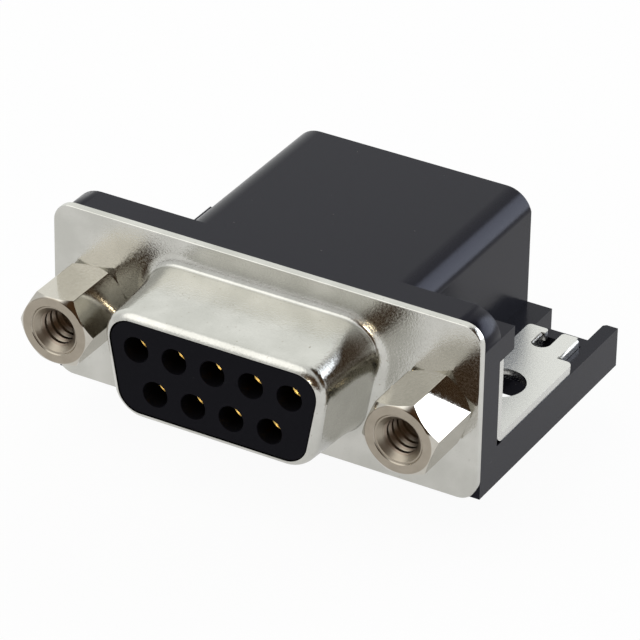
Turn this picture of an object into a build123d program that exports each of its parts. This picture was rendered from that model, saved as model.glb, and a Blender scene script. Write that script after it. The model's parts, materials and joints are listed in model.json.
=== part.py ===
from build123d import *
import math
import os

os.makedirs("parts", exist_ok=True)

# Right-angle nine-way D socket for a board edge. Millimetres.
# X runs along the flange, +Y runs back over the board, +Z is up.
# The board surface is z = 0 and the front face of the steel flange is y = 0.

FIT = 0.05

# Contacts
PITCH = 2.77
ROW_GAP = 2.84
WIDE_ROW = 5
BORE_D = 1.8
BARREL_D = 1.62
BARREL_BORE_D = 1.06
BARREL_DEPTH = 4.0
BARREL_SLIT = 0.25
BARREL_SINK = 1.8
GRIP = 1.3
GRIP_LEN = 2.8
WIRE = 0.6
WIRE_BEND = 0.9
TAIL_REACH = 3.2
TAIL_ROW_Y = 13.4

# Shell, wide side up, sized at its nose
SHELL_SIDE = 2.81
SHELL_W = PITCH * (WIDE_ROW - 1) + 2 * SHELL_SIDE
SHELL_H = 7.5
SHELL_RISE = 0.12
SHELL_SLANT = 10
SHELL_CORNER_R = 2.05
SHELL_REACH = 6.2
SHELL_DRAFT = 3.2
SHELL_WALL = 0.4
SHELL_NOSE_R = 0.8
SHELL_LIP = 0.48
SHELL_BACK_BEVEL = 0.6
STEP_W = 0.4
STEP_H = 0.4

# Flange
SCREW_OUT = 4.145
SCREW_X = SHELL_W / 2 + SCREW_OUT
EAR = 3.055
FLANGE_W = 2 * (SCREW_X + EAR)
FLANGE_H = 12.55
AXIS_Z = FLANGE_H / 2
STEEL = 0.5
CORNER_R = 1.35
MOULD_CORNER_R = 2.0
FLANGE_BACK = 2.6

# Plastic blocks that hold the contacts
FACE_SINK = 0.1
COLLAR = 1.0
COLLAR_GROW = 1.9
THROAT_SHRINK = 0.8
INSULATOR_BACK = 4.6

# Plastic hood
HOOD_OUT = 0.525
HOOD_W = SHELL_W + 2 * HOOD_OUT
HOOD_DROP = 1.52
HOOD_TOP = FLANGE_H - HOOD_DROP
HOOD_BACK = 19.43
HOOD_WALL = 1.15
HOOD_EDGE_R = 1.9
HOOD_EDGE_TURN = 76
SHELF_BACK = 4.45
SHELF_DROP = 1.9
SHELF_TOP = FLANGE_H - SHELF_DROP
SHELF_H = 1.67
SHELF_LOW = SHELF_TOP - SHELF_H

# Comb that keeps the tails apart
COMB_LOW = 0.5
COMB_TOP = 2.1
COMB_MARGIN = 1.5

# Steel brackets
SHEET = 0.6
BRACKET_INSET = 0.05
BRACKET_IN_X = SCREW_X - 1.775
BRACKET_BEND_R = 0.35
ARM_BACK = 16.1
FORK = 3.0
BRACKET_BACK = ARM_BACK - FORK
HOLE_D = 3.6
HOLE_Y = 8.55
HOLE_WINDOW = 3.1
SLOT_X = SCREW_X + 0.025
SLOT_W = 1.36
SLOT_LEN = 1.7
SLOT_Y = ARM_BACK - SLOT_LEN
SLOT_MOUTH_X = SLOT_X - 0.32
LEG_TURN_R = 0.2
GROUND_LEG_REACH = 3.0

# Plastic feet
FOOT_TOP = 2.82
FOOT_DECK = 1.2
FOOT_BACK = ARM_BACK + 0.97
RAIL_W = 1.02
SILL_W = 1.83
NOTCH_X = FLANGE_W / 2 - RAIL_W - LEG_TURN_R - 0.03

# Jack sockets and rivets
HEX_AF = 4.75
HEX_LEN = 4.85
HEX_BEVEL = 30
LEFT_HEX_TURN = 2
RIGHT_HEX_TURN = 11
THREAD_MINOR_D = 2.35
THREAD_PITCH_D = 2.5
SINK_D = 3.3
JACK_DEPTH = 4.2
JACK_STUD = 4.4
RIVET_D = 3.9
RIVET_HEAD_D = 4.6
RIVET_HEAD = 1.0


def block(x0, x1, y0, y1, z0, z1):
    """Box between two corners."""
    return Pos((x0 + x1) / 2, (y0 + y1) / 2, (z0 + z1) / 2) * Box(x1 - x0, y1 - y0, z1 - z0)


def along_y(face, y0, y1):
    """Face drawn as X right and Z up, run from y0 back to y1."""
    return extrude(Plane(origin=(0, y0, 0), x_dir=(1, 0, 0), z_dir=(0, -1, 0)) * face, amount=y0 - y1)


def rod(x, z, d, y0, y1):
    """Round bar along Y."""
    return along_y(Pos(x, z) * Circle(d / 2), y0, y1)


def square_bar(x, z, width, y0, y1):
    """Square bar along Y."""
    return along_y(Pos(x, z) * Rectangle(width, width), y0, y1)


def dee(grow):
    """The D outline of the nose, offset outwards by grow, corners rounded."""
    half_h = SHELL_H / 2 + grow
    slant = math.radians(SHELL_SLANT)
    lean = half_h * math.tan(slant)
    mid = SHELL_W / 2 - SHELL_H / 2 * math.tan(slant) + grow / math.cos(slant)
    top, low = mid + lean, mid - lean
    flat = make_face(Polyline((-top, half_h), (top, half_h), (low, -half_h), (-low, -half_h), close=True))
    return Pos(0, AXIS_Z + SHELL_RISE) * fillet(flat.vertices(), max(SHELL_CORNER_R + grow, 0.3))


def draft(y):
    """How far the drawn cup has widened at y, from nothing at its nose."""
    return (SHELL_REACH + y) * math.tan(math.radians(SHELL_DRAFT))


def drawn(grow, y0, y1):
    """Block that widens towards the flange as the cup does, offset outwards by grow."""
    plane = Plane(origin=(0, y1, 0), x_dir=(1, 0, 0), z_dir=(0, -1, 0))
    return extrude(plane * dee(grow + draft(y1)), amount=y1 - y0, taper=SHELL_DRAFT)


def contact_places():
    """Name, x, z and tail y of each contact, wide upper row first."""
    places = []
    for row, count in enumerate((WIDE_ROW, WIDE_ROW - 1)):
        for i in range(count):
            x = (i - (count - 1) / 2) * PITCH
            z = AXIS_Z + (0.5 - row) * ROW_GAP
            y = TAIL_ROW_Y + (1 - row) * ROW_GAP
            places.append((f"contact_{len(places) + 1}", x, z, y))
    return places


def front_shell():
    """Flange with the drawn D cup in front of it, one sheet of steel."""
    plate = along_y(Pos(0, AXIS_Z) * RectangleRounded(FLANGE_W, FLANGE_H, CORNER_R), 0, STEEL)
    cup = drawn(0, -SHELL_REACH, 0)
    cup = fillet(cup.faces().sort_by(Axis.Y)[0].edges(), SHELL_NOSE_R)
    inside = drawn(-SHELL_WALL, -SHELL_REACH + SHELL_WALL, STEEL)
    inside = chamfer(inside.faces().sort_by(Axis.Y)[0].edges(), SHELL_NOSE_R - SHELL_WALL)
    mouth = ring(-SHELL_WALL + draft(STEEL), SHELL_BACK_BEVEL, STEEL, STEEL - SHELL_BACK_BEVEL)
    body = plate + cup + ring(draft(-STEP_H), STEP_W, 0, -STEP_H)
    body -= inside + mouth + along_y(dee(-SHELL_LIP), -SHELL_REACH - 1, 0)
    for side in (-1, 1):
        body -= rod(side * SCREW_X, AXIS_Z, RIVET_D, -1, 1)
    return body


def ring(grow, width, wide_y, narrow_y):
    """Sloped D block, wider by width at its wide end."""
    ends = []
    for y, more in ((wide_y, width), (narrow_y, 0)):
        ends.append(Plane(origin=(0, y, 0), x_dir=(1, 0, 0), z_dir=(0, -1, 0)) * dee(grow + more))
    return loft(ends, ruled=True)


def front_insulator():
    """Socket block inside the cup: nose in the lip, round holes for the pins."""
    face_y = -SHELL_REACH + FACE_SINK
    step_y = -SHELL_REACH + SHELL_WALL
    bulk = along_y(dee(-SHELL_WALL - FIT), step_y, STEEL)
    bulk = chamfer(bulk.faces().sort_by(Axis.Y)[0].edges(), SHELL_NOSE_R - SHELL_WALL + FIT)
    body = bulk + along_y(dee(-SHELL_LIP - 1.6 * FIT), face_y, step_y + 0.1)
    for _, x, z, _ in contact_places():
        body -= rod(x, z, BORE_D, face_y - 1, STEEL + 1)
    return body


def rear_insulator():
    """Collar behind the flange and throat in the hood, square holes that hold the contacts."""
    body = along_y(dee(COLLAR_GROW), STEEL, STEEL + COLLAR) + along_y(dee(-THROAT_SHRINK), STEEL, INSULATOR_BACK)
    for _, x, z, _ in contact_places():
        body -= square_bar(x, z, GRIP, 0, INSULATOR_BACK + 1)
    return body


def contact(x, z, tail_y):
    """Split barrel in front, square grip, then a square wire bent down to the board."""
    front = -SHELL_REACH + FACE_SINK + BARREL_SINK
    barrel = rod(x, z, BARREL_D, front, STEEL)
    barrel -= rod(x, z, BARREL_BORE_D, front - 1, front + BARREL_DEPTH)
    barrel -= Pos(x, front + BARREL_DEPTH / 2 - 0.5, z) * Box(BARREL_SLIT, BARREL_DEPTH, BARREL_D + 1)
    grip = square_bar(x, z, GRIP, STEEL, STEEL + GRIP_LEN)
    return barrel + grip + tail_wire(x, z, STEEL + GRIP_LEN - 0.2, tail_y)


def tail_wire(x, z, start_y, tail_y):
    """Square wire running back, across its bend and down through the board."""
    half = WIRE / 2
    low, high, back, front = z - half, z + half, tail_y + half, tail_y - half
    outer = WIRE_BEND + (2 - math.sqrt(2)) * WIRE
    shape = make_face(Polyline((start_y, high), (back - outer, high), (back, high - outer), (back, -TAIL_REACH),
                               (front, -TAIL_REACH), (front, low - WIRE_BEND), (front - WIRE_BEND, low),
                               (start_y, low), close=True))
    wire = extrude(Plane(origin=(x - half, 0, 0), x_dir=(0, 1, 0), z_dir=(1, 0, 0)) * shape, amount=WIRE)
    return chamfer(wire.faces().sort_by(Axis.Z)[0].edges(), WIRE / 4)


def hood_outline():
    """Back view of the hood: square sides, broad rounded top edges that stop short of the side."""
    half = HOOD_W / 2
    turn = math.radians(HOOD_EDGE_TURN)
    x_in = half - HOOD_EDGE_R * math.sin(turn)
    z_low = HOOD_TOP - HOOD_EDGE_R * (1 - math.cos(turn))
    mid = math.radians(HOOD_EDGE_TURN / 2)
    x_mid = x_in + HOOD_EDGE_R * math.sin(mid)
    z_mid = HOOD_TOP - HOOD_EDGE_R * (1 - math.cos(mid))
    edge = [Line((-half, 0), (half, 0)), Line((half, 0), (half, z_low)),
            ThreePointArc((half, z_low), (x_mid, z_mid), (x_in, HOOD_TOP)),
            Line((x_in, HOOD_TOP), (-x_in, HOOD_TOP)),
            ThreePointArc((-x_in, HOOD_TOP), (-x_mid, z_mid), (-half, z_low)),
            Line((-half, z_low), (-half, 0))]
    return make_face(edge)


def hood():
    """Back flange, hollow hood over the tails, and the two feet, moulded in one."""
    flange = make_face(Polyline((-FLANGE_W / 2, 0), (FLANGE_W / 2, 0), (FLANGE_W / 2, FLANGE_H),
                                (-FLANGE_W / 2, FLANGE_H), close=True))
    flange = fillet(flange.vertices().group_by(Axis.Y)[-1], MOULD_CORNER_R)
    body = along_y(flange, STEEL, FLANGE_BACK) + along_y(hood_outline(), FLANGE_BACK, HOOD_BACK)
    body += shelf() + foot() + mirror(foot(), about=Plane.YZ)
    half = HOOD_W / 2 - HOOD_WALL
    room = block(-half, half, FLANGE_BACK, HOOD_BACK - HOOD_WALL, -1, HOOD_TOP - HOOD_WALL)
    room = fillet(room.edges().filter_by(Axis.Y).group_by(Axis.Z)[-1], HOOD_EDGE_R / 2)
    body -= room
    body -= along_y(dee(COLLAR_GROW + FIT), 0, STEEL + COLLAR)
    body -= along_y(dee(-THROAT_SHRINK), 0, FLANGE_BACK + 0.1)
    for side in (-1, 1):
        body -= rod(side * SCREW_X, AXIS_Z, RIVET_D, 0, FLANGE_BACK + 0.1)
    return body


def shelf():
    """Rib along the back of the flange, above the brackets."""
    rib = block(-FLANGE_W / 2, FLANGE_W / 2, STEEL + 0.1, SHELF_BACK, SHELF_LOW, SHELF_TOP)
    return rib - block(-HOOD_W / 2 + 0.5, HOOD_W / 2 - 0.5, 0, SHELF_BACK + 1, SHELF_LOW - 1, SHELF_TOP + 1)


def foot():
    """Right foot: a deck under the bracket, an outer rail and a sill beside the hood."""
    outer, inner = FLANGE_W / 2, HOOD_W / 2
    rail_in, sill_out = outer - RAIL_W, inner + SILL_W
    plan = make_face(Polyline((inner - 0.5, STEEL + 0.1), (outer, STEEL + 0.1), (outer, HOOD_BACK),
                              (rail_in, HOOD_BACK), (rail_in, FOOT_BACK), (sill_out, FOOT_BACK),
                              (sill_out, HOOD_BACK), (inner - 0.5, HOOD_BACK), close=True))
    tip = plan.vertices().sort_by_distance((rail_in, HOOD_BACK))[0]
    body = extrude(chamfer(tip, 0.2), amount=FOOT_TOP)
    body -= block(sill_out, rail_in, FLANGE_BACK, FOOT_BACK + 1, -1, FOOT_TOP - FOOT_DECK)
    body -= Pos(SCREW_X, HOLE_Y, 0) * Box(HOLE_D, HOLE_WINDOW, 3 * FOOT_TOP)
    body -= block(SLOT_X - SLOT_W, SLOT_X + SLOT_W / 2, SLOT_Y - SLOT_W / 2, ARM_BACK, -1, FOOT_TOP + 1)
    body -= block(NOTCH_X - SHEET, rail_in, BRACKET_BACK + 0.2, ARM_BACK, -1, FOOT_TOP + 1)
    return body


def bracket():
    """Right bracket: upright behind the flange, flat leg on the foot, two lock legs bent down."""
    sheet = bracket_side() & bracket_plan()
    sheet -= rod(SCREW_X, AXIS_Z, RIVET_D, 0, FLANGE_BACK + 5)
    sheet -= Pos(SCREW_X, HOLE_Y, FOOT_TOP) * Cylinder(HOLE_D / 2, 4)
    sheet += bent_leg(SLOT_X - SLOT_W / 2, SLOT_Y - 0.25, ARM_BACK - 0.55, -GROUND_LEG_REACH)
    sheet += bent_leg(NOTCH_X, BRACKET_BACK + 0.35, ARM_BACK - 0.25, FOOT_TOP - FOOT_DECK)
    return sheet


def bracket_side():
    """The L seen from the side, run across the width of the bracket."""
    y0, z0 = FLANGE_BACK, FOOT_TOP
    shape = make_face(Polyline((y0, z0), (ARM_BACK + 1, z0), (ARM_BACK + 1, z0 + SHEET), (y0 + SHEET, z0 + SHEET),
                               (y0 + SHEET, SHELF_LOW - FIT), (y0, SHELF_LOW - FIT), close=True))
    shape = fillet(shape.vertices().sort_by_distance((y0 + SHEET, z0 + SHEET))[0], BRACKET_BEND_R)
    shape = fillet(shape.vertices().sort_by_distance((y0, z0))[0], BRACKET_BEND_R + SHEET)
    wide = FLANGE_W / 2 - BRACKET_INSET - BRACKET_IN_X
    return extrude(Plane(origin=(BRACKET_IN_X, 0, 0), x_dir=(0, 1, 0), z_dir=(1, 0, 0)) * shape, amount=wide)


def bracket_plan():
    """Top view of the bracket blank: fork at the back, notch at its outer side, rounded corners."""
    x0, x1 = BRACKET_IN_X, FLANGE_W / 2 - BRACKET_INSET
    tip_y = ARM_BACK - 0.55
    shape = make_face(Polyline((x0, 0), (x1, 0), (x1, BRACKET_BACK), (NOTCH_X, BRACKET_BACK), (NOTCH_X, ARM_BACK),
                               (x0, ARM_BACK), close=True))
    for corner, radius in (((x1, BRACKET_BACK), 0.5), ((x0, ARM_BACK), 0.3)):
        shape = fillet(shape.vertices().sort_by_distance(corner)[0], radius)
    shape -= Pos(SLOT_X, SLOT_Y) * Circle(SLOT_W / 2)
    shape -= Pos(SLOT_X, (SLOT_Y + tip_y) / 2) * Rectangle(SLOT_W, tip_y - SLOT_Y)
    shape -= Pos((SLOT_MOUTH_X + SLOT_X + SLOT_W / 2) / 2, ARM_BACK) * Rectangle(
        SLOT_X + SLOT_W / 2 - SLOT_MOUTH_X, 2 * (ARM_BACK - tip_y))
    for corner in ((SLOT_MOUTH_X, ARM_BACK), (SLOT_X + SLOT_W / 2, ARM_BACK)):
        shape = fillet(shape.vertices().sort_by_distance(corner)[0], 0.25)
    return extrude(shape, amount=FLANGE_H)


def bent_leg(x, y0, y1, foot_z):
    """Leg turned down from the edge at x, outer face towards +X, its end tapered."""
    top, turn = FOOT_TOP + SHEET, LEG_TURN_R
    out = x + turn
    shape = make_face([Line((x - SHEET, top), (x, top)), RadiusArc((x, top), (out, top - turn), turn),
                       Line((out, top - turn), (out, foot_z)), Line((out, foot_z), (out - SHEET, foot_z)),
                       Line((out - SHEET, foot_z), (out - SHEET, FOOT_TOP)),
                       Line((out - SHEET, FOOT_TOP), (x - SHEET, FOOT_TOP)), Line((x - SHEET, FOOT_TOP), (x - SHEET, top))])
    leg = along_y(shape, y0, y1)
    tip = leg.faces().sort_by(Axis.Z)[0].edges().filter_by(Axis.X)
    return chamfer(tip, 0.4, 0.3) if foot_z < 0 else leg


def rivet(side):
    """Threaded rivet through the flange, the hood and the bracket."""
    x = side * SCREW_X
    back = FLANGE_BACK + SHEET + RIVET_HEAD
    head = rod(x, AXIS_Z, RIVET_HEAD_D, FLANGE_BACK + SHEET, back)
    return rod(x, AXIS_Z, RIVET_D, 0, back) + head - rod(x, AXIS_Z, THREAD_PITCH_D, -1, back + 1)


def jack_socket(side, turn):
    """Hex jack socket, turned from bar: threaded bore in front, threaded stud behind."""
    x = side * SCREW_X
    flat, corner = HEX_AF / 2, HEX_AF / 2 / math.cos(math.radians(30)) + 0.01
    bevel = (corner - flat) * math.tan(math.radians(HEX_BEVEL))
    bore, stud, sink = THREAD_MINOR_D / 2, THREAD_PITCH_D / 2, SINK_D / 2
    front = -HEX_LEN
    turned = make_face(Polyline(
        (sink, front), (flat, front), (corner, front + bevel), (corner, -bevel), (flat, 0), (stud, 0),
        (stud, JACK_STUD), (0, JACK_STUD), (0, front + JACK_DEPTH), (bore, front + JACK_DEPTH),
        (bore, front + (sink - bore)), close=True))
    turned = Plane(origin=(x, 0, AXIS_Z), x_dir=(1, 0, 0), z_dir=(0, 0, 1)) * turned
    lathe = revolve(turned, Axis((x, 0, AXIS_Z), (0, 1, 0)))
    hexagon = Pos(x, AXIS_Z) * RegularPolygon(HEX_AF / 2, 6, major_radius=False, rotation=turn)
    return lathe & along_y(hexagon, front - 1, JACK_STUD + 1)


def comb():
    """Plate in the foot of the hood with a square hole for each tail."""
    half = HOOD_W / 2 - HOOD_WALL
    back = HOOD_BACK - HOOD_WALL
    plate = block(-half, half, TAIL_ROW_Y - COMB_MARGIN, back, COMB_LOW, COMB_TOP)
    for _, x, _, y in contact_places():
        plate -= block(x - WIRE / 2, x + WIRE / 2, y - WIRE / 2, y + WIRE / 2, -1, COMB_TOP + 1)
    return plate


def build_all():
    """Every piece by name."""
    pieces = {"front_shell": front_shell(), "front_insulator": front_insulator(),
              "rear_insulator": rear_insulator(), "hood": hood(), "tail_comb": comb()}
    for name, x, z, y in contact_places():
        pieces[name] = contact(x, z, y)
    right = bracket()
    pieces["right_bracket"] = right
    pieces["left_bracket"] = mirror(right, about=Plane.YZ)
    for name, side, turn in (("left", -1, LEFT_HEX_TURN), ("right", 1, RIGHT_HEX_TURN)):
        pieces[f"{name}_rivet"] = rivet(side)
        pieces[f"{name}_jack_socket"] = jack_socket(side, turn)
    return pieces


for name, shape in build_all().items():
    shape.label = name
    export_step(shape, f"parts/{name}.step")
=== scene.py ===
import bpy
import json
import math
from mathutils import Matrix, Vector


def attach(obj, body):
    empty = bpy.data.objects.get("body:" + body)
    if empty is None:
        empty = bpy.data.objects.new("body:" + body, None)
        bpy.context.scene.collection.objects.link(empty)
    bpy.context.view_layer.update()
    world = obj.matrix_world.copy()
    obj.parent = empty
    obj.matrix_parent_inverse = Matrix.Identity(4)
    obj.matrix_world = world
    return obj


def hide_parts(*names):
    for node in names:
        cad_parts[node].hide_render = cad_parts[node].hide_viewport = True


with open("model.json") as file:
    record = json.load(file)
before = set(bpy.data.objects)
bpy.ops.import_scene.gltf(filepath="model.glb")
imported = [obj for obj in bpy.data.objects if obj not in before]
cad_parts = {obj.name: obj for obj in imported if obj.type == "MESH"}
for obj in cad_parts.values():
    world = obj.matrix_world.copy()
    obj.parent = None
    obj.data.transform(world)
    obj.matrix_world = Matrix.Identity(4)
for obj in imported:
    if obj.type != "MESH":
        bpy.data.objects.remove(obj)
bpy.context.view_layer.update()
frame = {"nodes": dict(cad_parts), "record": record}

MM = 0.001

# Sizes of the part, in millimetres, and its angles: contacts, drawn cup, flange, jack sockets
PITCH = 2.77
ROW_GAP = 2.84
ROWS = (5, 4)
BARREL_FRONT = -4.3
BARREL_R = 0.81
BARREL_BORE_R = 0.53
BARREL_SLIT = 0.25
TAIL_TIP_Z = -3.2

SHELL_SIDE = 2.81
SHELL_W = PITCH * (ROWS[0] - 1) + 2 * SHELL_SIDE
SHELL_H = 7.5
SHELL_RISE = 0.12
SHELL_SLANT = math.radians(10)
SHELL_CORNER_R = 2.05
SHELL_REACH = 6.2
SHELL_DRAFT = math.radians(3.2)
SHELL_WALL = 0.4
SHELL_NOSE_R = 0.8
SHELL_LIP = 0.48

SCREW_OUT = 4.145
SCREW_X = SHELL_W / 2 + SCREW_OUT
EAR = 3.055
FLANGE_W = 2 * (SCREW_X + EAR)
FLANGE_H = 12.55
AXIS_Z = FLANGE_H / 2
STEEL = 0.5
CORNER_R = 1.35
RIVET_D = 3.9

HEX_AF = 4.75
HEX_LEN = 4.85
STUD_R = 1.25
STUD_LEN = 4.4
BORE_R = 1.175
BORE_DEPTH = 4.2

# In degrees: the turn that brings a flat of the hexagon up, and how far each one stops short of it
FLAT_UP = 30
HEX_TURNS = {"left": 2, "right": 11}

# Sizes of the finer detail that is made here, in millimetres
HEX_CHAMFER = 0.38
HEX_EDGE = 0.05
END_R = HEX_AF / 2 - 0.09
END_EDGE_RUN = 0.04
END_EDGE_RISE = 0.07
STUD_CHAMFER = 0.3
SINK_R = 1.70
SINK_EDGE = 0.06
SINK_DEPTH = 0.44
SINK_FOOT_R = 1.28
SINK_FOOT_RUN = 0.12
DRILL_TIP = 0.2
DRILL_TIP_R = 0.4
THREAD_R = 1.38
THREAD_PITCH = 0.635
THREAD_HALF = 0.42 * THREAD_PITCH
THREAD_START = 0.4
THREAD_TURNS = 7
THREAD_OVERLAP = 0.06

ROOT_OUT = 0.95
ROOT_RISE = 0.15
ROOT_R = 0.30
FLARE = 0.13
FLARE_RUN = 2.0
RISE_STEPS = 6
FOLD_STEPS = 7
FLARE_STEPS = 6
NOSE_STEPS = 10
CORNER_STEPS = 10

RIM_FORWARD = 0.12
RIM_EDGE = 0.02
LEAD_IN = 0.10
MOUTH_OVERLAP = 0.06
MOUTH_PROUD = 0.003
EDGE_ROUND = {"hood": 0.07, "front_insulator": 0.04, "left_bracket": 0.06, "right_bracket": 0.06}

# Rims in steps: (depth, how much narrower) down the countersink, (y, offset) over the flange's edge
SINK_RIM = ((0.05, 0), (0.10, 0.03), (0.12, 0.12))
FLANGE_EDGE = ((0.1, 0), (0.04, -0.02), (0.01, -0.05), (0, -0.1))

# Sides of what is turned, and steps in a turn of the thread
BAR_SIDES = 96
ROUND_SIDES = 64
BARREL_SIDES = 48
THREAD_STEPS = 48

# The least angle of an edge that is bevelled, and the angle below which two faces are one flat
HEX_SHARP = math.radians(50)
MOULD_SHARP = math.radians(40)
SAME_FLAT = math.radians(0.5)

# In millimetres, where a finish of the jack socket fades: round the edge of its hole, and behind
# its turned end
HOLE_FADE = (-0.02, 0.04)
END_FADE = (0.02, 0.06)

# How far a cutting tool runs past what it cuts, and a gap that only keeps two faces apart
PAST = 1
HAIR = 0.01
MERGE = 0.002

# How far the floor is lifted to plain white where the camera sees it and where metal mirrors it,
# and its colours near the part and, far in front, painted dark as a dark room for metal to mirror
FLOOR_WHITE = 0.95
FLOOR_WHITE_IN_METAL = 0.6
FLOOR_PALE = (0.88, 0.88, 0.88)
FLOOR_PAINTED_DARK_ROOM = (0.06, 0.04, 0.02)

# In metres: the floor's side, how far it stays white in front of the part, and where its painted dark room is
# full
FLOOR_SIDE = 1.2
TABLE_FRONT = 0.13
PAINTED_DARK_ROOM_FULL = 1.6 * TABLE_FRONT


# Material helpers

def new_material(name):
    """An empty principled material: its node tree and its shader."""
    mat = bpy.data.materials.new(name)
    mat.use_nodes = True
    tree = mat.node_tree
    return mat, tree, tree.nodes["Principled BSDF"]


def add(tree, kind, **values):
    """A node with plain values set on its properties or, where the name is a socket, on its input."""
    node = tree.nodes.new(kind)
    for key, value in values.items():
        if hasattr(node, key):
            setattr(node, key, value)
        else:
            node.inputs[key].default_value = value
    return node


def object_place(tree):
    """The place on the part, in metres."""
    return add(tree, "ShaderNodeTexCoord").outputs["Object"]


def along(tree, place, axis):
    """One coordinate of the place."""
    parts = add(tree, "ShaderNodeSeparateXYZ")
    tree.links.new(place, parts.inputs[0])
    return parts.outputs[axis]


def noise(tree, place, per_mm, detail=2.0, rough=0.5):
    """Soft noise with about per_mm grains in each millimetre."""
    node = add(tree, "ShaderNodeTexNoise", Scale=per_mm / MM, Detail=detail, Roughness=rough)
    tree.links.new(place, node.inputs["Vector"])
    return node.outputs["Fac"]


def ranged(tree, value, low_in, high_in, low_out, high_out):
    """The value moved from one range to another, smoothly and clamped."""
    node = add(tree, "ShaderNodeMapRange", interpolation_type="SMOOTHSTEP")
    tree.links.new(value, node.inputs["Value"])
    limits = {"From Min": low_in, "From Max": high_in, "To Min": low_out, "To Max": high_out}
    for socket, number in limits.items():
        node.inputs[socket].default_value = number
    return node.outputs["Result"]


def blended(tree, factor, colour_a, colour_b):
    """Colour a where the factor is 0, colour b where it is 1."""
    node = add(tree, "ShaderNodeMix", data_type="RGBA")
    tree.links.new(factor, node.inputs["Factor"])
    for socket, colour in ((6, colour_a), (7, colour_b)):
        if isinstance(colour, tuple):
            node.inputs[socket].default_value = (*colour, 1)
        else:
            tree.links.new(colour, node.inputs[socket])
    return node.outputs[2]


def mixed(tree, factor, low, high):
    """The first value where the factor is 0, the plain second value where it is 1."""
    node = add(tree, "ShaderNodeMix", data_type="FLOAT")
    tree.links.new(factor, node.inputs[0])
    tree.links.new(low, node.inputs[2])
    node.inputs[3].default_value = high
    return node.outputs[0]


def math_node(tree, operation, *values):
    """Result of one sum on values that are sockets or numbers."""
    node = add(tree, "ShaderNodeMath", operation=operation)
    for socket, value in zip(node.inputs, values):
        if isinstance(value, (int, float)):
            socket.default_value = value
        else:
            tree.links.new(value, socket)
    return node.outputs[0]


def bumped(tree, height, depth_mm, strength):
    """Bump of about depth_mm from a 0 to 1 height."""
    node = add(tree, "ShaderNodeBump", Strength=strength, Distance=depth_mm * MM)
    tree.links.new(height, node.inputs["Height"])
    return node.outputs["Normal"]


def grain_rough(tree, grain, smoothest, roughest):
    """Roughness that follows the grain."""
    return ranged(tree, grain, 0.3, 0.7, smoothest, roughest)


# Materials

def nickel_plate():
    """Satin nickel over drawn steel: sparkling grain, faint stains, a few pits."""
    mat, tree, shader = new_material("nickel_plate")
    place = object_place(tree)
    grain = noise(tree, place, 6.8, 2, 0.6)
    stains = ranged(tree, noise(tree, place, 0.3, 3), 0.35, 0.7, 0, 1)
    pits = ranged(tree, noise(tree, place, 4.5, 2), 0.68, 0.74, 0, 0.45)
    plate = blended(tree, stains, (0.545, 0.54, 0.502), (0.63, 0.623, 0.585))
    tree.links.new(blended(tree, pits, plate, (0.30, 0.27, 0.21)), shader.inputs["Base Color"])
    tree.links.new(grain_rough(tree, grain, 0.11, 0.27), shader.inputs["Roughness"])
    tree.links.new(bumped(tree, grain, 0.015, 0.7), shader.inputs["Normal"])
    shader.inputs["Metallic"].default_value = 1
    return mat


def within(tree, place, reach):
    """1 nearer than reach, in millimetres, to either jack socket's axis, 0 beyond it."""
    sideways = math_node(tree, "SUBTRACT", math_node(tree, "ABSOLUTE", along(tree, place, "X")), SCREW_X * MM)
    upwards = math_node(tree, "SUBTRACT", along(tree, place, "Z"), AXIS_Z * MM)
    squares = [math_node(tree, "MULTIPLY", value, value) for value in (sideways, upwards)]
    radius = math_node(tree, "SQRT", math_node(tree, "ADD", *squares))
    near, far = [(reach + edge) * MM for edge in HOLE_FADE]
    return ranged(tree, radius, near, far, 1, 0)


def bright_nickel():
    """Bright nickel on turned bar: near mirror outside, duller on the turned end, painted shade in the bore.
    """
    mat, tree, shader = new_material("bright_nickel")
    place = object_place(tree)
    grain = noise(tree, place, 5, 2)
    # The bore mask marks where painted shade darkens and browns the colour inside the bore
    bore = within(tree, place, SINK_FOOT_R)
    sink = within(tree, place, SINK_R)
    near, far = [(edge - HEX_LEN) * MM for edge in END_FADE]
    turned_end = ranged(tree, along(tree, place, "Y"), near, far, 1, 0)
    sides = blended(tree, grain, (0.52, 0.49, 0.43), (0.60, 0.575, 0.52))
    end = blended(tree, noise(tree, place, 1.2, 3), (0.31, 0.272, 0.218), (0.43, 0.382, 0.315))
    outside = blended(tree, math_node(tree, "MAXIMUM", turned_end, sink), sides, end)
    # The brown colour inside the bore is painted shade
    tree.links.new(blended(tree, bore, outside, (0.31, 0.255, 0.205)), shader.inputs["Base Color"])
    tree.links.new(mixed(tree, sink, grain_rough(tree, grain, 0.06, 0.14), 0.34), shader.inputs["Roughness"])
    tree.links.new(bumped(tree, grain, 0.002, 0.3), shader.inputs["Normal"])
    shader.inputs["Metallic"].default_value = 1
    return mat


def tin_plate():
    """Tin on punched sheet for the brackets and rivets."""
    mat, tree, shader = new_material("tin_plate")
    grain = noise(tree, object_place(tree), 9, 4, 0.6)
    colour = blended(tree, grain, (0.60, 0.595, 0.565), (0.72, 0.715, 0.69))
    tree.links.new(colour, shader.inputs["Base Color"])
    tree.links.new(grain_rough(tree, grain, 0.22, 0.38), shader.inputs["Roughness"])
    tree.links.new(bumped(tree, grain, 0.006, 0.5), shader.inputs["Normal"])
    shader.inputs["Metallic"].default_value = 1
    return mat


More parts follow.
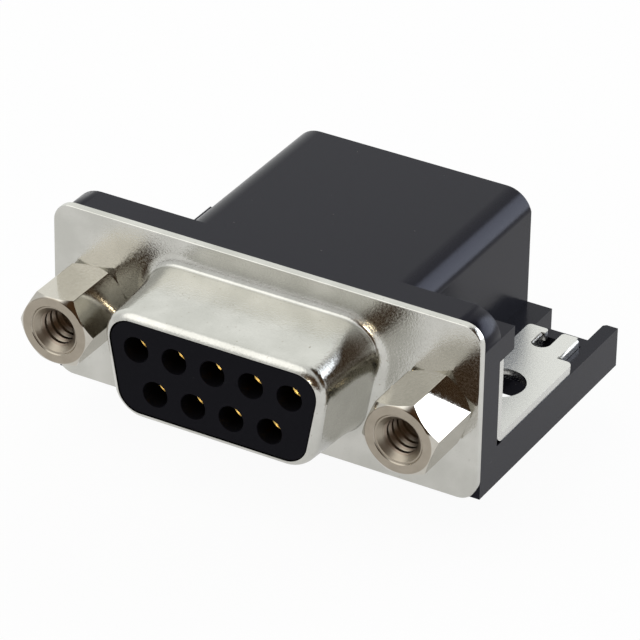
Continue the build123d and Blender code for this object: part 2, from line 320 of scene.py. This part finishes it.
def moulded_black(name, dark, light, rough, specular):
    """Black glass-filled moulding: fine texture and specks of pale dust."""
    mat, tree, shader = new_material(name)
    place = object_place(tree)
    grain = noise(tree, place, 7, 3)
    dust = ranged(tree, noise(tree, place, 2.6, 1), 0.79, 0.83, 0, 0.35)
    colour = blended(tree, dust, blended(tree, grain, dark, light), (0.16, 0.15, 0.14))
    tree.links.new(colour, shader.inputs["Base Color"])
    tree.links.new(grain_rough(tree, grain, *rough), shader.inputs["Roughness"])
    tree.links.new(bumped(tree, grain, 0.004, 0.35), shader.inputs["Normal"])
    shader.inputs["Specular IOR Level"].default_value = specular
    shader.inputs["Specular Tint"].default_value = (0.76, 0.76, 1.0, 1)
    return mat


def hood_plastic():
    """Soft gloss on the hood, the flange's back and the feet."""
    dark, light = (0.0052, 0.0050, 0.0078), (0.0098, 0.0094, 0.0140)
    return moulded_black("hood_plastic", dark, light, (0.15, 0.25), 0.13)


def insulator_plastic():
    """Duller black of the socket face and the inner mouldings."""
    dark, light = (0.0035, 0.0035, 0.0050), (0.0070, 0.0070, 0.0090)
    return moulded_black("insulator_plastic", dark, light, (0.34, 0.5), 0.06)


def gold_plate():
    """Thin gold over the brass contacts."""
    mat, tree, shader = new_material("gold_plate")
    grain = noise(tree, object_place(tree), 8, 2)
    tree.links.new(blended(tree, grain, (0.88, 0.60, 0.16), (0.95, 0.70, 0.26)), shader.inputs["Base Color"])
    tree.links.new(grain_rough(tree, grain, 0.20, 0.28), shader.inputs["Roughness"])
    shader.inputs["Metallic"].default_value = 1
    return mat


FINISHES = {
    "nickel_shell": nickel_plate(),
    "bright_nickel": bright_nickel(),
    "tin_bracket": tin_plate(),
    "hood_plastic": hood_plastic(),
    "insulator_plastic": insulator_plastic(),
    "gold_contact": gold_plate(),
}
SLOTS = {subpart["node"]: subpart["material_slot"] for subpart in frame["record"]["subparts"]}
for node, slot in SLOTS.items():
    for material_slot in frame["nodes"][node].material_slots:
        material_slot.material = FINISHES[slot]


# Modelling helpers

def nothing_selected():
    """Object mode with nothing selected, so the next operator acts on its own piece only."""
    if bpy.context.object and bpy.context.object.mode != "OBJECT":
        bpy.ops.object.mode_set(mode="OBJECT")
    bpy.ops.object.select_all(action="DESELECT")


def picked(piece):
    """Make the piece the only one selected, and active."""
    nothing_selected()
    bpy.context.view_layer.objects.active = piece
    piece.select_set(True)


def removed(piece):
    """Throw a piece away that has done its work."""
    nothing_selected()
    piece.select_set(True)
    bpy.ops.object.delete()


def shaping(piece):
    """Edit mode on the piece with all of it selected."""
    picked(piece)
    bpy.ops.object.mode_set(mode="EDIT")
    bpy.ops.mesh.select_all(action="SELECT")


def outward(piece):
    """Turn all faces outwards, leave edit mode and give the piece back."""
    bpy.ops.mesh.select_all(action="SELECT")
    bpy.ops.mesh.normals_make_consistent(inside=False)
    bpy.ops.object.mode_set(mode="OBJECT")
    return piece


def applied(piece, kind, **settings):
    """Modifier added with its settings and applied."""
    picked(piece)
    modifier = piece.modifiers.new(kind.lower(), kind)
    for key, value in settings.items():
        setattr(modifier, key, value)
    bpy.ops.object.modifier_apply(modifier=modifier.name)


def cut(piece, tool, way):
    """Boolean of the piece with a tool that is then thrown away."""
    applied(piece, "BOOLEAN", object=tool, operation=way, solver="EXACT")
    removed(tool)


def copied(source, name):
    """Copy of a piece with its own mesh."""
    piece = source.copy()
    piece.data = source.data.copy()
    piece.name = name
    bpy.context.scene.collection.objects.link(piece)
    return piece


def finish(piece, slot, smooth_angle):
    """Shade the piece smooth below the angle, give it its slot's finish and let it ride with the root."""
    picked(piece)
    bpy.ops.object.shade_smooth_by_angle(angle=math.radians(smooth_angle))
    applied(piece, "WEIGHTED_NORMAL", mode="FACE_AREA", weight=100, keep_sharp=True)
    piece.data.materials.clear()
    piece.data.materials.append(FINISHES[slot])
    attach(piece, "root")


def turned(name, x, stations, sides=ROUND_SIDES, turn=0.0):
    """Solid turned about an axis along Y at x: a disc drawn out through (y, radius) stations."""
    nothing_selected()
    place, radius = stations[0]
    bpy.ops.mesh.primitive_circle_add(vertices=sides, radius=radius * MM, fill_type="NGON",
                                      location=(x * MM, place * MM, AXIS_Z * MM),
                                      rotation=(math.pi / 2, turn, 0))
    piece = bpy.context.object
    piece.name = name
    bpy.ops.object.transform_apply(location=True, rotation=True, scale=True)
    shaping(piece)
    for y, new_radius in stations[1:]:
        bpy.ops.mesh.extrude_region_move(TRANSFORM_OT_translate={"value": (0, (y - place) * MM, 0)})
        grow = new_radius / radius
        bpy.ops.transform.resize(value=(grow, 1, grow), center_override=(x * MM, y * MM, AXIS_Z * MM))
        place, radius = y, new_radius
    return outward(piece)


# Jack sockets

def thread_ridge(x):
    """Helical V ridge that cuts the thread of the bore."""
    nothing_selected()
    low, high = BORE_R - THREAD_OVERLAP, THREAD_R
    axis = (x * MM, (-HEX_LEN - THREAD_START) * MM, AXIS_Z * MM)
    bpy.ops.mesh.primitive_circle_add(vertices=3, radius=MM, fill_type="NOTHING", location=axis,
                                      rotation=(0, 0, -math.pi / 2))
    ridge = bpy.context.object
    bpy.ops.object.transform_apply(location=False, rotation=True, scale=True)
    shaping(ridge)
    bpy.ops.transform.resize(value=((high - low) / 1.5, THREAD_HALF / math.cos(math.pi / 6), 1),
                             center_override=axis)
    bpy.ops.transform.translate(value=((low + (high - low) / 3) * MM, 0, 0))
    bpy.ops.object.mode_set(mode="OBJECT")
    applied(ridge, "SCREW", axis="Y", screw_offset=THREAD_PITCH * MM, iterations=THREAD_TURNS,
            steps=THREAD_STEPS, render_steps=THREAD_STEPS, use_normal_calculate=True)
    picked(ridge)
    bpy.ops.object.transform_apply(location=True, rotation=True, scale=True)
    shaping(ridge)
    bpy.ops.mesh.fill_holes(sides=3)
    return outward(ridge)


def jack_socket(name, x, turn):
    """Hexagon turned from bar, chamfered at both ends, with a countersunk threaded bore and a stud behind."""
    flat = HEX_AF / 2
    corner = flat / math.cos(math.pi / 6)
    front = -HEX_LEN
    socket = turned(name, x, [(front - PAST, corner), (STUD_LEN + PAST, corner)], sides=6, turn=turn)
    applied(socket, "BEVEL", width=HEX_EDGE * MM, segments=2, limit_method="ANGLE",
            angle_limit=HEX_SHARP)
    bar = turned(name + "_bar", x, [(front, END_R), (front + END_EDGE_RUN, END_R + END_EDGE_RISE),
                                    (front + HEX_CHAMFER, corner + HAIR), (-HEX_CHAMFER, corner + HAIR),
                                    (0, flat), (0, STUD_R), (STUD_LEN - STUD_CHAMFER, STUD_R),
                                    (STUD_LEN, STUD_R - STUD_CHAMFER)], sides=BAR_SIDES)
    cut(socket, bar, "INTERSECT")
    mouth_r = SINK_R + SINK_EDGE
    rim = [(front + depth, SINK_R - narrower) for depth, narrower in SINK_RIM]
    bore = turned(name + "_bore", x, [(front - PAST, mouth_r), (front - HAIR, mouth_r), *rim,
                                      (front + SINK_DEPTH, SINK_FOOT_R),
                                      (front + SINK_DEPTH + SINK_FOOT_RUN, BORE_R),
                                      (front + BORE_DEPTH, BORE_R),
                                      (front + BORE_DEPTH + DRILL_TIP, DRILL_TIP_R)])
    cut(socket, bore, "DIFFERENCE")
    cut(socket, thread_ridge(x), "DIFFERENCE")
    return socket


for side, sign in (("left", -1), ("right", 1)):
    turn = math.radians(FLAT_UP - HEX_TURNS[side])
    socket = jack_socket(f"{side}_threaded_socket", sign * SCREW_X, turn)
    finish(socket, "bright_nickel", smooth_angle=22)
    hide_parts(f"{side}_jack_socket")


# Drawn shell

def draft(y):
    """How far the drawn cup has widened at y, from nothing at its nose."""
    return (SHELL_REACH + y) * math.tan(SHELL_DRAFT)


def choose(piece, wanted):
    """Select, in edit mode, the vertices whose place is wanted."""
    bpy.ops.mesh.select_all(action="DESELECT")
    bpy.ops.object.mode_set(mode="OBJECT")
    for vertex in piece.data.vertices:
        vertex.select = wanted(vertex.co)
    bpy.ops.object.mode_set(mode="EDIT")
    bpy.ops.mesh.select_mode(type="VERT")


def flat_face(name, y, half_top, half_low, half_h, middle_z, corner_top, corner_low):
    """Upright face at y, its top and low corners rounded by the given lengths along the edges."""
    nothing_selected()
    middle = (0, y * MM, middle_z * MM)
    bpy.ops.mesh.primitive_plane_add(size=1, location=middle, rotation=(math.pi / 2, 0, 0))
    piece = bpy.context.object
    piece.name = name
    bpy.ops.object.transform_apply(location=True, rotation=True, scale=True)
    shaping(piece)
    bpy.ops.transform.resize(value=(2 * half_top * MM, 1, 2 * half_h * MM), center_override=middle)
    for above, length in ((False, corner_low), (True, corner_top)):
        choose(piece, lambda place: (place.z > middle_z * MM) == above)
        if not above:
            bpy.ops.transform.resize(value=(half_low / half_top, 1, 1), center_override=middle)
        bpy.ops.mesh.bevel(offset=length * MM, segments=CORNER_STEPS, affect="VERTICES", clamp_overlap=False)
    bpy.ops.mesh.select_all(action="SELECT")
    return piece


def stepped(piece, stations):
    """Draw the selected face through (y, grow) stations: the first run straight, then even offsets."""
    (y, grow), (first_y, first_grow), *rest = stations
    bpy.ops.mesh.extrude_region_move(TRANSFORM_OT_translate={"value": (0, (first_y - y) * MM, 0)})
    y, grow = first_y, first_grow
    for new_y, new_grow in rest:
        # An inset of exactly nothing would make no new ring
        bpy.ops.mesh.inset(thickness=max(grow - new_grow, 1e-4) * MM, depth=(y - new_y) * MM)
        y, grow = new_y, new_grow
    return outward(piece)


def dee_block(name, stations):
    """Solid on the D outline of the cup's nose, offset outwards by grow at each (y, grow) station."""
    y, grow = stations[0]
    half_h = SHELL_H / 2 + grow
    lean = half_h * math.tan(SHELL_SLANT)
    middle = SHELL_W / 2 - SHELL_H / 2 * math.tan(SHELL_SLANT) + grow / math.cos(SHELL_SLANT)
    radius = SHELL_CORNER_R + grow
    corners = [radius / math.tan((math.pi / 2 + lean_way * SHELL_SLANT) / 2) for lean_way in (-1, 1)]
    face = flat_face(name, y, middle + lean, middle - lean, half_h, AXIS_Z + SHELL_RISE, *corners)
    return stepped(face, stations)


def shares(count):
    """Even shares from the first step to the whole."""
    return [step / count for step in range(1, count + 1)]


def root_and_nose():
    """(y, grow) stations of the cup's outside: rise of the sheet, tight fold, drafted wall, rounded nose."""
    outer = draft(0) + ROOT_OUT
    rise_end = math.atan(2 * ROOT_RISE / (ROOT_OUT - ROOT_R))
    fold_y = -ROOT_RISE - ROOT_R * math.cos(rise_end)
    low = draft(fold_y) + FLARE
    fold_out = ROOT_R * (1 - math.sin(rise_end))
    stations = [(STEEL / 2, outer), (0, outer)]
    for share in shares(RISE_STEPS):
        stations.append((-ROOT_RISE * share ** 2, outer + (low + fold_out - outer) * share))
    for share in shares(FOLD_STEPS):
        turn = rise_end + (math.pi / 2 - rise_end) * share
        y = -ROOT_RISE - ROOT_R * (math.cos(rise_end) - math.cos(turn))
        stations.append((y, low + ROOT_R * (1 - math.sin(turn))))
    for share in shares(FLARE_STEPS):
        y = fold_y - FLARE_RUN * share
        stations.append((y, draft(y) + FLARE * (1 - share) ** 2))
    centre_y = -SHELL_REACH + SHELL_NOSE_R
    centre = draft(centre_y) - SHELL_NOSE_R
    last = math.acos((2 * HAIR - SHELL_LIP - centre) / SHELL_NOSE_R)
    for share in (0, *shares(NOSE_STEPS)):
        turn = share * last
        stations.append((centre_y - SHELL_NOSE_R * math.sin(turn), centre + SHELL_NOSE_R * math.cos(turn)))
    return stations


def shell():
    """Flange and drawn cup in one sheet: hollow cup, open mouth, holes for the rivets."""
    half_w = FLANGE_W / 2
    flange = flat_face("drawn_shell", STEEL, half_w, half_w, FLANGE_H / 2, AXIS_Z, CORNER_R, CORNER_R)
    stepped(flange, [(STEEL, 0), *FLANGE_EDGE])
    cut(flange, dee_block("cup", root_and_nose()), "UNION")
    turn_y = -SHELL_REACH + SHELL_NOSE_R
    wide, narrow = draft(STEEL) - SHELL_WALL, draft(turn_y) - SHELL_WALL
    bend = SHELL_NOSE_R - SHELL_WALL
    hollow = [(STEEL + PAST, wide), (STEEL, wide), (turn_y, narrow),
              (turn_y - 0.7 * bend, narrow - 0.3 * bend), (turn_y - bend, narrow - bend)]
    cut(flange, dee_block("hollow", hollow), "DIFFERENCE")
    mouth = [(turn_y, -SHELL_LIP), (-SHELL_REACH - PAST, -SHELL_LIP)]
    cut(flange, dee_block("mouth", mouth), "DIFFERENCE")
    for side in (-1, 1):
        hole = turned("rivet_hole", side * SCREW_X, [(-PAST, RIVET_D / 2), (PAST, RIVET_D / 2)])
        cut(flange, hole, "DIFFERENCE")
    return flange


# Pieces finished from the part's own meshes

def merged_copy(node):
    """Copy of a part's mesh as one closed skin, with each flat face in one piece."""
    piece = copied(frame["nodes"][node], f"{node}_finished")
    shaping(piece)
    bpy.ops.mesh.remove_doubles(threshold=MERGE * MM)
    bpy.ops.mesh.dissolve_limited(angle_limit=SAME_FLAT)
    bpy.ops.object.mode_set(mode="OBJECT")
    return piece


def softened(node, width):
    """The part's own mesh with its sharp edges rounded by width."""
    piece = merged_copy(node)
    applied(piece, "BEVEL", width=width * MM, segments=2, limit_method="ANGLE",
            angle_limit=MOULD_SHARP, use_clamp_overlap=True)
    finish(piece, SLOTS[node], smooth_angle=35)
    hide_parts(node)


def barrel_mouth():
    """Front ring of a contact's barrel with its lead-in cone and its slit, on the part's middle axis."""
    rim = BARREL_FRONT - RIM_FORWARD
    outer = BARREL_R + MOUTH_PROUD
    ring = turned("barrel_mouth", 0, [(BARREL_FRONT + MOUTH_OVERLAP, outer), (rim + RIM_EDGE, outer),
                                      (rim, BARREL_R - RIM_EDGE), (rim + LEAD_IN, BARREL_BORE_R)],
                  sides=BARREL_SIDES)
    bore = turned("bore", 0, [(BARREL_FRONT + PAST, BARREL_BORE_R), (rim - PAST, BARREL_BORE_R)],
                  sides=BARREL_SIDES)
    cut(ring, bore, "DIFFERENCE")
    nothing_selected()
    bpy.ops.mesh.primitive_cube_add(size=1, location=(0, BARREL_FRONT * MM, AXIS_Z * MM),
                                    scale=(BARREL_SLIT * MM, PAST * MM, 4 * BARREL_R * MM))
    bpy.ops.object.transform_apply(location=True, rotation=True, scale=True)
    cut(ring, bpy.context.object, "DIFFERENCE")
    return ring


def led_in_contact(node, ring, x, up):
    """Contact with the barrel's mouth ring joined to its front, moved from the middle axis by x and up."""
    mouth = copied(ring, "mouth")
    shaping(mouth)
    bpy.ops.transform.translate(value=(x * MM, 0, up * MM))
    bpy.ops.object.mode_set(mode="OBJECT")
    piece = merged_copy(node)
    cut(piece, mouth, "UNION")
    finish(piece, SLOTS[node], smooth_angle=30)
    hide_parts(node)


for node, width in EDGE_ROUND.items():
    softened(node, width)

mouth_ring = barrel_mouth()
number = 0
for row, count in enumerate(ROWS):
    for index in range(count):
        number += 1
        x, up = (index - (count - 1) / 2) * PITCH, (0.5 - row) * ROW_GAP
        led_in_contact(f"contact_{number}", mouth_ring, x, up)
removed(mouth_ring)

drawn_shell = shell()
finish(drawn_shell, "nickel_shell", smooth_angle=25)
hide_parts("front_shell")


# Studio: the photograph's view, fitted to the part's standard sizes. Lens and sensor are in
# millimetres, the place and the reach in metres
CAMERA_PLACE = Vector((123.97, -212.01, 154.67)) * MM
CAMERA_RIGHT = Vector((0.86612, 0.49961, 0.01496))
CAMERA_UP = Vector((-0.26664, 0.43650, 0.85929))
CAMERA_BACK = Vector((0.42278, -0.74823, 0.51128))
CAMERA_LENS = 255.61
CAMERA_SENSOR = 36
CAMERA_REACH = (0.01, 20)

# Light tent: plain shade all round, then lobes of (direction, cosine at the lobe's edge,
# cosine where it is full, colour)
TENT_SHADE = (0.80, 0.81, 0.81)
TENT_LOBES = (
    ((-0.42, 0.75, 0.51), 0.30, 0.90, (1.10, 1.12, 1.10)),
    ((-0.42, -0.51, 0.75), 0.84, 0.97, (1.75, 1.75, 1.72)),
    ((0.54, 0.75, 0.33), 0.90, 0.97, (4.6, 4.95, 5.45)),
    ((0.85, 0.20, 0.46), 0.86, 0.95, (0.085, 0.050, 0.025)),
    ((0.50, 0.35, 0.79), 0.88, 0.95, (0.050, 0.032, 0.018)),
    ((0.38, -0.84, 0.26), 0.70, 0.90, (0.075, 0.040, 0.018)),
)

LAMP_AWAY = Vector((0.08, -0.97, 0.13))
LAMP_DISTANCE = 0.25
LAMP_SIDE = 0.014
LAMP_POWER = 0.055
LAMP_COLOUR = (1.0, 0.86, 0.64)


def camera():
    """Camera turned and placed as the photograph's."""
    data = bpy.data.cameras.new("camera")
    cam = bpy.data.objects.new("camera", data)
    bpy.context.scene.collection.objects.link(cam)
    axes = [axis.normalized() for axis in (CAMERA_RIGHT, CAMERA_UP, CAMERA_BACK)]
    cam.matrix_world = Matrix.Translation(CAMERA_PLACE) @ Matrix(axes).transposed().to_4x4()
    data.lens = CAMERA_LENS
    data.sensor_width = CAMERA_SENSOR
    data.clip_start, data.clip_end = CAMERA_REACH
    bpy.context.scene.camera = cam


def floor():
    """White floor under the tail tips that keeps a shadow; its far front is a painted dark room for metal to
    mirror.
    """
    bpy.ops.mesh.primitive_plane_add(size=FLOOR_SIDE, location=(0, 0, TAIL_TIP_Z * MM))
    plane = bpy.context.object
    plane.name = "floor"
    mat, tree, shader = new_material("white_floor")
    # Painted dark room: the floor's colour turns dark far in front so that metal mirrors shade there
    near = ranged(tree, along(tree, object_place(tree), "Y"), -PAINTED_DARK_ROOM_FULL, -TABLE_FRONT, 0, 1)
    tree.links.new(blended(tree, near, FLOOR_PAINTED_DARK_ROOM, FLOOR_PALE), shader.inputs["Base Color"])
    shader.inputs["Roughness"].default_value = 0.9
    glow = add(tree, "ShaderNodeEmission", Color=(1, 1, 1, 1), Strength=1)
    path = add(tree, "ShaderNodeLightPath")
    seen = math_node(tree, "MULTIPLY", path.outputs["Is Camera Ray"], FLOOR_WHITE)
    mirrored = math_node(tree, "MULTIPLY", path.outputs["Is Glossy Ray"],
                         math_node(tree, "MULTIPLY", near, FLOOR_WHITE_IN_METAL))
    mix = add(tree, "ShaderNodeMixShader")
    tree.links.new(math_node(tree, "MAXIMUM", seen, mirrored), mix.inputs[0])
    tree.links.new(shader.outputs[0], mix.inputs[1])
    tree.links.new(glow.outputs[0], mix.inputs[2])
    tree.links.new(mix.outputs[0], tree.nodes["Material Output"].inputs["Surface"])
    plane.data.materials.append(mat)


def studio_world():
    """Light tent: brighter above on the left and behind, dark on the right and behind the camera."""
    world = bpy.data.worlds.new("tent")
    bpy.context.scene.world = world
    world.use_nodes = True
    tree = world.node_tree
    coords = add(tree, "ShaderNodeTexCoord")
    colour = TENT_SHADE
    for direction, soft, full, shade in TENT_LOBES:
        toward = add(tree, "ShaderNodeVectorMath", operation="DOT_PRODUCT")
        toward.inputs[1].default_value = Vector(direction).normalized()
        tree.links.new(coords.outputs["Generated"], toward.inputs[0])
        share = ranged(tree, toward.outputs["Value"], soft, full, 0, 1)
        colour = blended(tree, share, colour, shade)
    tree.links.new(colour, tree.nodes["Background"].inputs["Color"])


def front_lamp():
    """Small warm lamp low in front, for the glints in the grain and the contact barrels."""
    nothing_selected()
    place = LAMP_AWAY.normalized() * LAMP_DISTANCE
    bpy.ops.object.light_add(type="AREA", location=place)
    lamp = bpy.context.object
    lamp.name = "front_lamp"
    lamp.rotation_euler = place.to_track_quat("Z", "Y").to_euler()
    lamp.data.size = LAMP_SIDE
    lamp.data.energy = LAMP_POWER
    lamp.data.color = LAMP_COLOUR


camera()
floor()
studio_world()
front_lamp()
bpy.context.scene.view_settings.view_transform = "Standard"
